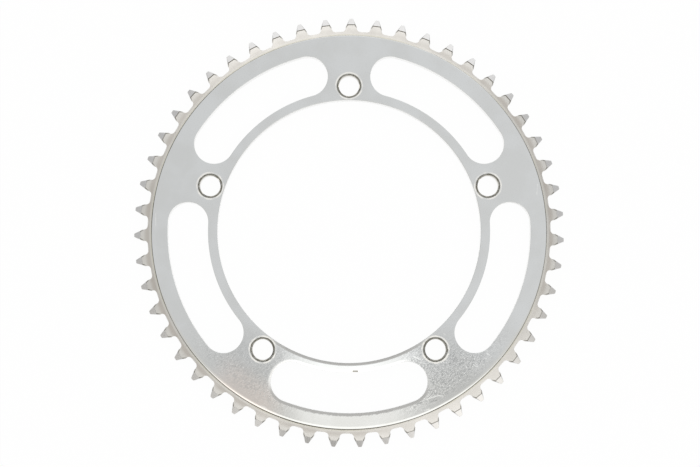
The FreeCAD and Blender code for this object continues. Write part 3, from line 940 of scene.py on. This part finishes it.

# %% [markdown]
# The toothed band is duller. The chain's plates wear it around each pin and leave a brown film
# between, at the roots of the teeth. Painted shade lies dark along the crease and the upper ends of
# the flank bevels. It is drawn from the same crease and bevel lines that shape the tooth, so it
# stays on the edge that it belongs to.

# %% Finish of the toothed band


def make_crease_line_group():
    """Masks of painted shade along the crease and the two bevel lines of each tooth, and of the tip facet.
    """
    tree, get, give = new_group(
        "Tooth burr", "ShaderNodeTree",
        [("Across", FLOAT), ("Out", FLOAT), ("Crease", FLOAT), ("Bevel Line", FLOAT),
         ("Flank Angle", FLOAT), ("Run-out", FLOAT), ("Half Width", FLOAT)],
        [("Crease Mask", FLOAT), ("Flank Mask", FLOAT), ("Facet Mask", FLOAT)])
    side = calculate(tree, "ABSOLUTE", get["Across"])
    beyond = calculate(tree, "ADD",
                       calculate(tree, "MULTIPLY", side, calculate(tree, "COSINE", get["Flank Angle"])),
                       calculate(tree, "MULTIPLY", get["Out"], calculate(tree, "SINE", get["Flank Angle"])))
    beyond = calculate(tree, "SUBTRACT", beyond, get["Bevel Line"])
    above = calculate(tree, "SUBTRACT", get["Out"], get["Crease"])

    def thin(distance):
        share = calculate(tree, "DIVIDE", calculate(tree, "ABSOLUTE", distance), get["Half Width"])
        return calculate(tree, "SUBTRACT", 1.0, rise(tree, share, 0.6, 1.2))

    inside = calculate(tree, "LESS_THAN", beyond, get["Half Width"])
    below = calculate(tree, "LESS_THAN", above, get["Half Width"])
    leg_top = calculate(tree, "SUBTRACT", get["Crease"], get["Run-out"])
    upper_leg = rise(tree, above, calculate(tree, "MULTIPLY", leg_top, -1.0), 0.0)
    legs = calculate(tree, "MULTIPLY", thin(beyond), calculate(tree, "MULTIPLY", below, upper_leg))
    tree.links.new(calculate(tree, "MULTIPLY", thin(above), inside), give["Crease Mask"])
    tree.links.new(legs, give["Flank Mask"])
    tree.links.new(rise(tree, above, -0.1, 0.1), give["Facet Mask"])
    return tree


crease_line_group = make_crease_line_group()


def make_band_finish():
    material, tree, shader = new_finish("Rubbed toothed band")
    place = millimetre_place(tree)
    where = ring_places(tree, place)
    polish = use_group(tree, polish_group, {
        "Place": place, "Unevenness": 1.0, "Scuffs": 1.0, "Direction": radians(20),
        "Stretch": 1.5})
    # Painted light: the band is lighter at the top and bottom of the ring, most at the top, and at the
    # lower right, with random worn patches
    patch = rise(tree, noise(tree, place, 0.09, detail=2.0), 0.35, 0.65)
    twice_round = calculate(tree, "MULTIPLY_ADD", where["Angle"], 2.0, radians(-200))
    rub_and_light = calculate(tree, "MULTIPLY_ADD", calculate(tree, "COSINE", twice_round), 0.4, 0.4)
    upper_share = calculate(tree, "MULTIPLY_ADD", calculate(tree, "SINE", where["Angle"]), 0.22, 0.78)
    rub_and_light = calculate(tree, "MULTIPLY", rub_and_light, upper_share)
    rub_and_light = calculate(tree, "MULTIPLY_ADD", patch, 0.2, rub_and_light)
    lower_right = between(tree, where["Angle"], radians(-88), radians(-68), radians(-30),
                          radians(-12))
    rub_and_light = calculate(tree, "MULTIPLY_ADD", lower_right, 0.05, rub_and_light)
    colour = blend(tree, rub_and_light, metal_warm, rubbed_and_lit)
    # Brown film between the pins at the roots of the teeth, thinner where the painted light is strongest
    film = calculate(tree, "MULTIPLY", rise(tree, where["From Pin"], 4.0, 4.7),
                     between(tree, where["Radius"], 97.9, 98.9, 99.6, 101.6))
    film = calculate(tree, "MULTIPLY", film, calculate(tree, "MULTIPLY_ADD", rub_and_light, -0.7, 0.75))
    film = calculate(tree, "MULTIPLY", film,
                     calculate(tree, "MULTIPLY_ADD", lower_right, -0.8, 1.0))
    colour = blend(tree, film, colour, brown_film)
    gold = wandering_line(tree, place, where["Radius"], 97.7, 0.38, wobble=0.3, least=0.05,
                          scale=0.06)
    colour = blend(tree, calculate(tree, "MULTIPLY", gold, 0.55), colour, gold_film)
    crease_lines = use_group(tree, crease_line_group, {
        "Across": where["Across"], "Out": where["Out"], "Crease": crease_radius / mm,
        "Bevel Line": bevel_offset / mm, "Flank Angle": flank_angle, "Run-out": run_out.y / mm,
        "Half Width": 0.22})
    height_on_ring = calculate(tree, "SINE", where["Angle"])
    colour = blend(tree, crease_lines["Facet Mask"], colour, cut_metal)
    # Painted shade along the crease, strongest at the top of the ring and at the lower right, and along the
    # flank bevel lines
    upper = calculate(tree, "MULTIPLY_ADD", rise(tree, height_on_ring, 0.1, 0.75), 0.85, 0.12)
    upper = calculate(tree, "MULTIPLY_ADD", lower_right, 0.5, upper)
    dark = calculate(tree, "MULTIPLY", crease_lines["Crease Mask"], upper)
    dark = calculate(tree, "MAXIMUM", dark, calculate(tree, "MULTIPLY", crease_lines["Flank Mask"], 0.75))
    # Painted shade in the corner under the shoulder, weaker towards the top
    corner_shade = wandering_line(tree, place, where["Radius"], shoulder_radius / mm + 0.05, 0.15,
                          least=0.7, scale=0.05)
    corner_shade = calculate(tree, "MULTIPLY", corner_shade, corner_shade_share(tree, where["Angle"]))
    dark = calculate(tree, "MAXIMUM", dark, corner_shade)
    colour = blend(tree, dark, colour, grime_and_shade)
    fill(tree, shader.inputs["Base Color"], colour)
    dull = calculate(tree, "MULTIPLY_ADD", polish["Scuff Mask"], 0.08, 0.40)
    dull = calculate(tree, "MULTIPLY_ADD", film, 0.1, dull)
    dull = calculate(tree, "MULTIPLY_ADD", crease_lines["Facet Mask"], -0.16, dull)
    fill(tree, shader.inputs["Roughness"], calculate(tree, "MULTIPLY_ADD", dark, 0.3, dull))
    shader.inputs["Anisotropic"].default_value = 0.75
    shader.inputs["Anisotropic Rotation"].default_value = 0.25
    turning = add_node(tree, "ShaderNodeTangent", direction_type="RADIAL", axis="Z")
    fill(tree, shader.inputs["Tangent"], turning.outputs[0])
    bump = add_node(tree, "ShaderNodeBump", {"Height": polish["Height"], "Strength": 1.0,
                                             "Distance": band_unevenness})
    fill(tree, shader.inputs["Normal"], bump.outputs[0])
    return material


band_unevenness = 0.012 * mm
band_finish = make_band_finish()
print("band finish:", len(band_finish.node_tree.nodes), "nodes")

# %% [markdown]
# A modifier runs the tree. Its inputs are set by each socket's identifier before the object is
# first evaluated, and the result is kept as a plain mesh. A Weighted Normal modifier after it lets
# wide faces decide the shading at their edges, so flat faces look flat beside narrow roundings.

# %% Build the ring


def build_by_nodes(name, tree, sizes):
    """Run a node tree with its inputs set, and keep the result as a plain mesh."""
    carrier = bpy.data.objects.new(name, bpy.data.meshes.new(name))
    bpy.context.scene.collection.objects.link(carrier)
    modifier = carrier.modifiers.new(name, "NODES")
    modifier.node_group = tree
    for item in tree.interface.items_tree:
        if item.in_out == "INPUT":
            modifier[item.identifier] = sizes[item.name]
    evaluated = carrier.evaluated_get(bpy.context.evaluated_depsgraph_get())
    mesh = bpy.data.meshes.new_from_object(evaluated)
    mesh.name = name
    carrier.modifiers.remove(modifier)
    carrier.data = mesh
    return carrier


def turn_outwards(piece):
    """Point every face outwards, and print what the closed mesh measures."""
    shape = bmesh.new()
    shape.from_mesh(piece.data)
    bmesh.ops.recalc_face_normals(shape, faces=shape.faces)
    open_edges = [edge for edge in shape.edges if len(edge.link_faces) != 2]
    triangles = sum(len(face.verts) - 2 for face in shape.faces)
    size = [round(side / mm, 2) for side in piece.dimensions]
    print(f"{piece.name}: {triangles} triangles, {len(open_edges)} open edges,",
          f"{shape.calc_volume(signed=True) * 1e6:.3f} cm3, {size} mm")
    shape.to_mesh(piece.data)
    shape.free()


def weigh_normals(piece):
    """Shade wide faces flat beside their narrow roundings."""
    modifier = piece.modifiers.new("weighted", "WEIGHTED_NORMAL")
    modifier.weight = 80
    evaluated = piece.evaluated_get(bpy.context.evaluated_depsgraph_get())
    mesh = bpy.data.meshes.new_from_object(evaluated)
    piece.modifiers.remove(modifier)
    piece.data = mesh
    mesh.name = piece.name


ring = build_by_nodes("ring", ring_group, {
    "Tooth": tooth, "Teeth": teeth, "Tooth Turn": tooth_turn, "Steps per Tooth": steps_per_tooth,
    "Thickness": plate_thickness, "Land Height": land_front, "Shoulder Radius": shoulder_radius,
    "Shoulder Round": 0.3 * mm, "Roll Width": 1.4 * mm, "Corner Round": 0.2 * mm,
    "Band Support": band_support, "Bore Radius": bore_radius, "Bore Round": 0.25 * mm,
    "Slot Inner Radius": slot_inner_radius, "Slot Outer Radius": slot_outer_radius,
    "Slot Half Angle": slot_half_angle, "Slot Round": 0.15 * mm,
    "Bolt Radius": bolt_circle_radius, "Bolts": bolt_count, "Hole Radius": hole_radius,
    "Countersink Radius": countersink_radius, "Back Break": 0.35 * mm,
    "Hole Softness": 0.04 * mm, "Support": 0.02 * mm, "Plate Finish": plate_finish,
    "Band Finish": band_finish})
bpy.data.objects.remove(tooth)
turn_outwards(ring)
weigh_normals(ring)
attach(ring, "root")
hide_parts("chainring")

# %% [markdown]
# The camera hangs almost straight above the ring, a little below its middle as the picture has it,
# and looks down. Its distance and lens come from how much the ring's round outline is squeezed and
# how much larger its near side looks.

# %% Camera
camera_tilt = radians(4.05)
camera_distance = 812 * mm
aim = Vector((0.48, -1.32, 5.0)) * mm
camera_data = bpy.data.cameras.new("camera")
camera = bpy.data.objects.new("camera", camera_data)
bpy.context.scene.collection.objects.link(camera)
bpy.context.scene.camera = camera
camera.location = aim + Vector((0, -sin(camera_tilt), cos(camera_tilt))) * camera_distance
camera.rotation_euler = (camera_tilt, 0, 0)
camera_data.lens = 84.9
camera_data.sensor_width = 36
print("camera at, mm:", [round(value / mm, 1) for value in camera.location])

# %% [markdown]
# A plain pale table lies under the ring. Seen by the camera or in the metal it is mostly its own
# white, and the rest of it is an ordinary pale surface that takes the light, so that the ring
# keeps a soft shadow.

# %% Floor
FLOOR_HALF = 3.0
own_white = 0.97


def make_floor():
    mesh = bpy.data.meshes.new("floor")
    corners = [(-FLOOR_HALF, -FLOOR_HALF, 0), (FLOOR_HALF, -FLOOR_HALF, 0),
               (FLOOR_HALF, FLOOR_HALF, 0), (-FLOOR_HALF, FLOOR_HALF, 0)]
    mesh.from_pydata(corners, [], [(0, 1, 2, 3)])
    table = bpy.data.objects.new("floor", mesh)
    bpy.context.scene.collection.objects.link(table)
    material = bpy.data.materials.new("White table")
    material.use_nodes = True
    tree = material.node_tree
    shader = tree.nodes["Principled BSDF"]
    shader.inputs["Base Color"].default_value = (0.92, 0.92, 0.92, 1)
    shader.inputs["Roughness"].default_value = 0.9
    shader.inputs["Specular IOR Level"].default_value = 0.0
    white = add_node(tree, "ShaderNodeEmission", {"Strength": 1.0})
    ray = add_node(tree, "ShaderNodeLightPath").outputs
    seen = calculate(tree, "MAXIMUM", ray["Is Camera Ray"], ray["Is Glossy Ray"])
    seen = calculate(tree, "MAXIMUM", seen, ray["Is Transmission Ray"])
    mix = add_node(tree, "ShaderNodeMixShader",
                   {0: calculate(tree, "MULTIPLY", seen, own_white), 1: shader.outputs[0],
                    2: white.outputs[0]})
    tree.links.new(mix.outputs[0], tree.nodes["Material Output"].inputs["Surface"])
    mesh.materials.append(material)
    return table


make_floor()

# %% [markdown]
# Polished metal is drawn by its surroundings, so the light is one soft world that differs with
# direction: even overhead, brighter towards the top of the picture, darker towards the bottom, and
# dimmer near the horizon. Just below the overhead direction lies a narrow bright strip. The
# slightest tilt of the metal moves its reflection in or out of that strip, which gives the ring's
# near side its glare.

# %% World
OVERHEAD = 0.96
STRIP = 1.72
HORIZON = 0.70


def make_world():
    world = bpy.data.worlds.new("studio")
    world.use_nodes = True
    tree = world.node_tree
    direction = add_node(tree, "ShaderNodeTexCoord").outputs["Generated"]
    x, y, z = add_node(tree, "ShaderNodeSeparateXYZ", {0: direction}).outputs

    def degrees_of(value):
        return calculate(tree, "MULTIPLY", value, 180 / pi)

    side = calculate(tree, "ABSOLUTE", degrees_of(calculate(tree, "ARCTAN2", x, z)))
    north = degrees_of(calculate(tree, "ARCTAN2", y, z))
    south = calculate(tree, "MULTIPLY", north, -1.0)
    down = degrees_of(calculate(tree, "ARCCOSINE", z))

    def add_light(level, mask, amount):
        return calculate(tree, "MULTIPLY_ADD", mask, amount, level)

    def mixed(level, other, mask):
        node = add_node(tree, "ShaderNodeMix", {0: mask, 2: level, 3: other}, data_type="FLOAT")
        return node.outputs[0]

    east = rise(tree, degrees_of(calculate(tree, "ARCTAN2", x, z)), -8, 8)
    level = calculate(tree, "MULTIPLY_ADD", east, 0.05, OVERHEAD)
    azimuth = degrees_of(calculate(tree, "ARCTAN2", y, x))
    lights = calculate(tree, "MULTIPLY_ADD", between(tree, azimuth, 41, 60, 119, 134), 0.70, -0.28)
    lights = add_light(lights, between(tree, azimuth, -78, -62, -44, -18), 0.88)
    lights = add_light(lights, between(tree, azimuth, -128, -122, -117, -111), 0.32)
    lights = add_light(lights, between(tree, azimuth, -115, -108, -90, -78), -0.30)
    level = add_light(level, between(tree, down, 20, 27, 44, 62), lights)
    beside = calculate(tree, "MULTIPLY", between(tree, side, 1.9, 2.7, 3.7, 5.8),
                       between(tree, south, -0.9, -0.1, 1.2, 4.0))
    level = add_light(level, beside, -0.2)
    level = mixed(level, HORIZON, rise(tree, down, 50, 74))
    narrow = calculate(tree, "SUBTRACT", 1.0, rise(tree, side, 1.6, 2.35))
    strip = calculate(tree, "MULTIPLY", narrow, between(tree, south, -1.0, -0.3, 3.5, 5.5))
    dip = between(tree, south, 1.2, 2.1, 3.0, 4.5)
    strip = calculate(tree, "MULTIPLY", strip, calculate(tree, "MULTIPLY_ADD", dip, -0.55, 1.0))
    level = mixed(level, STRIP, strip)
    fan = calculate(tree, "SUBTRACT", 1.0, rise(tree, side, 12, 20))
    lower = calculate(tree, "MULTIPLY_ADD", side, -0.15, south)
    fan = calculate(tree, "MULTIPLY", fan, between(tree, lower, 3.6, 5.6, 14, 20))
    level = mixed(level, STRIP, fan)
    background = tree.nodes["Background"]
    tint = blend(tree, rise(tree, south, -0.5, 2.5), (1, 1, 1, 1), (1, 0.98, 0.94, 1))
    fill(tree, background.inputs["Color"], tint)
    fill(tree, background.inputs["Strength"], level)
    return world


bpy.context.scene.world = make_world()
bpy.context.scene.view_settings.view_transform = "Standard"
